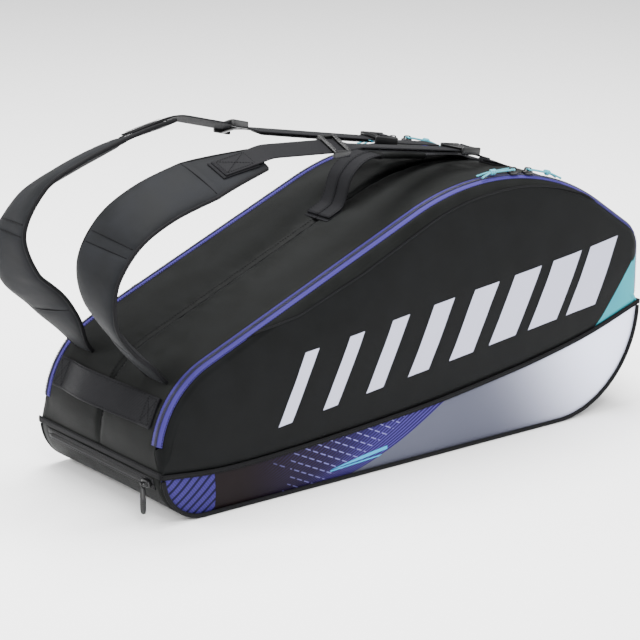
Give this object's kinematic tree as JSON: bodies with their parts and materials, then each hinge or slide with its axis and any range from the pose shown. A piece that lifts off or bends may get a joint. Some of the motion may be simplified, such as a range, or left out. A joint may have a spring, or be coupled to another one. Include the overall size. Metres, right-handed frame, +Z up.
{
  "type": "racket tournament bag",
  "caption": "Wedge-shaped racket bag with zipped sides that fold open, a centre divider, padded shoulder straps, a carry handle and a grab handle on its narrow end.",
  "frame": {"origin": "centre of the flat bottom, at the height it rests on", "axes": "+X from the narrow handle end to the wide end, -Y the near side with the printed panel, +Z up"},
  "size_m": [0.8445, 0.27, 0.4415],
  "materials": {
    "bag_fabric": "coated black twill, slight sheen",
    "side_fabric": "printed black coated fabric with a teal corner",
    "band_fabric": "printed lower band, pearl grey and violet",
    "lining": "plain lining",
    "board": "stiffener sheet",
    "binding": "woven binding",
    "zip_tape": "violet zip tape with dark coil",
    "dark_tape": "black zip tape with coil",
    "slider_metal": "black painted slider",
    "cord": "turquoise braided cord",
    "puller": "moulded puller",
    "webbing": "flat woven webbing",
    "pad": "padded strap, spacer mesh underneath",
    "buckle": "moulded acetal"
  },
  "bodies": {
    "shell": {"base_panel": "bag_fabric", "base_board": "board", "divider": "lining", "narrow_end_flap": "binding", "wide_end_binding": "binding", "end_zip": "dark_tape", "grab_handle": "webbing", "handle_patches": "webbing", "lower_band_near": "band_fabric", "lower_band_far": "band_fabric", "side_strip_near": "side_fabric", "side_strip_far": "side_fabric", "gusset_near": "bag_fabric", "gusset_far": "bag_fabric", "side_binding_near": "binding", "side_binding_far": "binding", "piping_near": "binding", "piping_far": "binding", "gusset_tape_near": "zip_tape", "gusset_tape_far": "zip_tape", "strap_root_near": "pad", "strap_root_far": "pad", "strap_anchor_near": "bag_fabric", "strap_anchor_far": "bag_fabric"},
    "carry_handle": {"carry_webbing_near": "webbing", "carry_webbing_far": "webbing", "handle_wrap": "bag_fabric"},
    "end_slider": {"end_slider": "slider_metal"},
    "end_puller": {"end_puller": "puller"},
    "side_near": {"side_panel_near": "side_fabric", "facing_near": "bag_fabric", "door_tape_near": "zip_tape"},
    "strap_near": {"shoulder_pad_near": "pad", "pad_patch_near": "webbing", "strap_webbing_near": "webbing", "strap_tail_near": "webbing", "ladder_lock_near": "buckle", "lock_webbing_near": "webbing"},
    "tri_glide_near": {"tri_glide_near": "buckle"},
    "slider_left_near": {"slider_left_near": "slider_metal"},
    "pull_left_near": {"pull_left_near": "cord"},
    "slider_right_near": {"slider_right_near": "slider_metal"},
    "pull_right_near": {"pull_right_near": "cord"},
    "side_far": {"side_panel_far": "side_fabric", "facing_far": "bag_fabric", "door_tape_far": "zip_tape"},
    "strap_far": {"shoulder_pad_far": "pad", "pad_patch_far": "webbing", "strap_webbing_far": "webbing", "strap_tail_far": "webbing", "ladder_lock_far": "buckle", "lock_webbing_far": "webbing"},
    "tri_glide_far": {"tri_glide_far": "buckle"},
    "slider_left_far": {"slider_left_far": "slider_metal"},
    "pull_left_far": {"pull_left_far": "cord"},
    "slider_right_far": {"slider_right_far": "slider_metal"},
    "pull_right_far": {"pull_right_far": "cord"}
  },
  "joints": [
    {"name": "side_near_fold", "type": "hinge", "parent": "shell", "child": "side_near", "pos_m": [-0.382, -0.13, 0.091], "axis": [0.9971, 0, 0.0766], "range_deg": [0, 75]},
    {"name": "slider_left_near_travel", "type": "hinge", "parent": "shell", "child": "slider_left_near", "pos_m": [0.129, -0.118, 0.012], "axis": [0, 1, 0], "range_deg": [-20, 0]},
    {"name": "pull_left_near_flip", "type": "hinge", "parent": "slider_left_near", "child": "pull_left_near", "pos_m": [0.16378, -0.118, 0.3478], "axis": [0, 1, 0], "range_deg": [0, 110]},
    {"name": "slider_right_near_travel", "type": "hinge", "parent": "shell", "child": "slider_right_near", "pos_m": [0.129, -0.118, 0.012], "axis": [0, 1, 0], "range_deg": [0, 14]},
    {"name": "pull_right_near_flip", "type": "hinge", "parent": "slider_right_near", "child": "pull_right_near", "pos_m": [0.18936, -0.118, 0.34416], "axis": [0, 1, 0], "range_deg": [-110, 0]},
    {"name": "strap_near_swing", "type": "hinge", "parent": "shell", "child": "strap_near", "pos_m": [-0.364, -0.077, 0.188], "axis": [0.9572, 0.0479, 0.2854], "range_deg": [0, 20]},
    {"name": "tri_glide_near_slide", "type": "slide", "parent": "strap_near", "child": "tri_glide_near", "axis": [0.9981, 0, -0.0622], "range_m": [-0.08, 0]},
    {"name": "side_far_fold", "type": "hinge", "parent": "shell", "child": "side_far", "pos_m": [-0.382, 0.13, 0.091], "axis": [0.9971, 0, 0.0766], "range_deg": [-75, 0]},
    {"name": "slider_left_far_travel", "type": "hinge", "parent": "shell", "child": "slider_left_far", "pos_m": [0.129, 0.118, 0.012], "axis": [0, 1, 0], "range_deg": [-20, 0]},
    {"name": "pull_left_far_flip", "type": "hinge", "parent": "slider_left_far", "child": "pull_left_far", "pos_m": [0.16378, 0.118, 0.3478], "axis": [0, 1, 0], "range_deg": [0, 110]},
    {"name": "slider_right_far_travel", "type": "hinge", "parent": "shell", "child": "slider_right_far", "pos_m": [0.129, 0.118, 0.012], "axis": [0, 1, 0], "range_deg": [0, 14]},
    {"name": "pull_right_far_flip", "type": "hinge", "parent": "slider_right_far", "child": "pull_right_far", "pos_m": [0.18936, 0.118, 0.34416], "axis": [0, 1, 0], "range_deg": [-110, 0]},
    {"name": "strap_far_swing", "type": "hinge", "parent": "shell", "child": "strap_far", "pos_m": [-0.364, 0.077, 0.188], "axis": [0.9572, -0.0479, 0.2854], "range_deg": [-20, 0]},
    {"name": "tri_glide_far_slide", "type": "slide", "parent": "strap_far", "child": "tri_glide_far", "axis": [0.9661, 0, -0.258], "range_m": [-0.062, 0]},
    {"name": "carry_handle_flop", "type": "hinge", "parent": "shell", "child": "carry_handle", "pos_m": [-0.03, 0, 0.307], "axis": [0.9784, 0, 0.2066], "range_deg": [0, 20]},
    {"name": "end_slider_travel", "type": "slide", "parent": "shell", "child": "end_slider", "axis": [0, 1, 0], "range_m": [0, 0.205]},
    {"name": "end_puller_swing", "type": "hinge", "parent": "end_slider", "child": "end_puller", "pos_m": [-0.39039, -0.104, 0.04604], "axis": [0, 1, 0], "range_deg": [0, 100]}
  ]
}
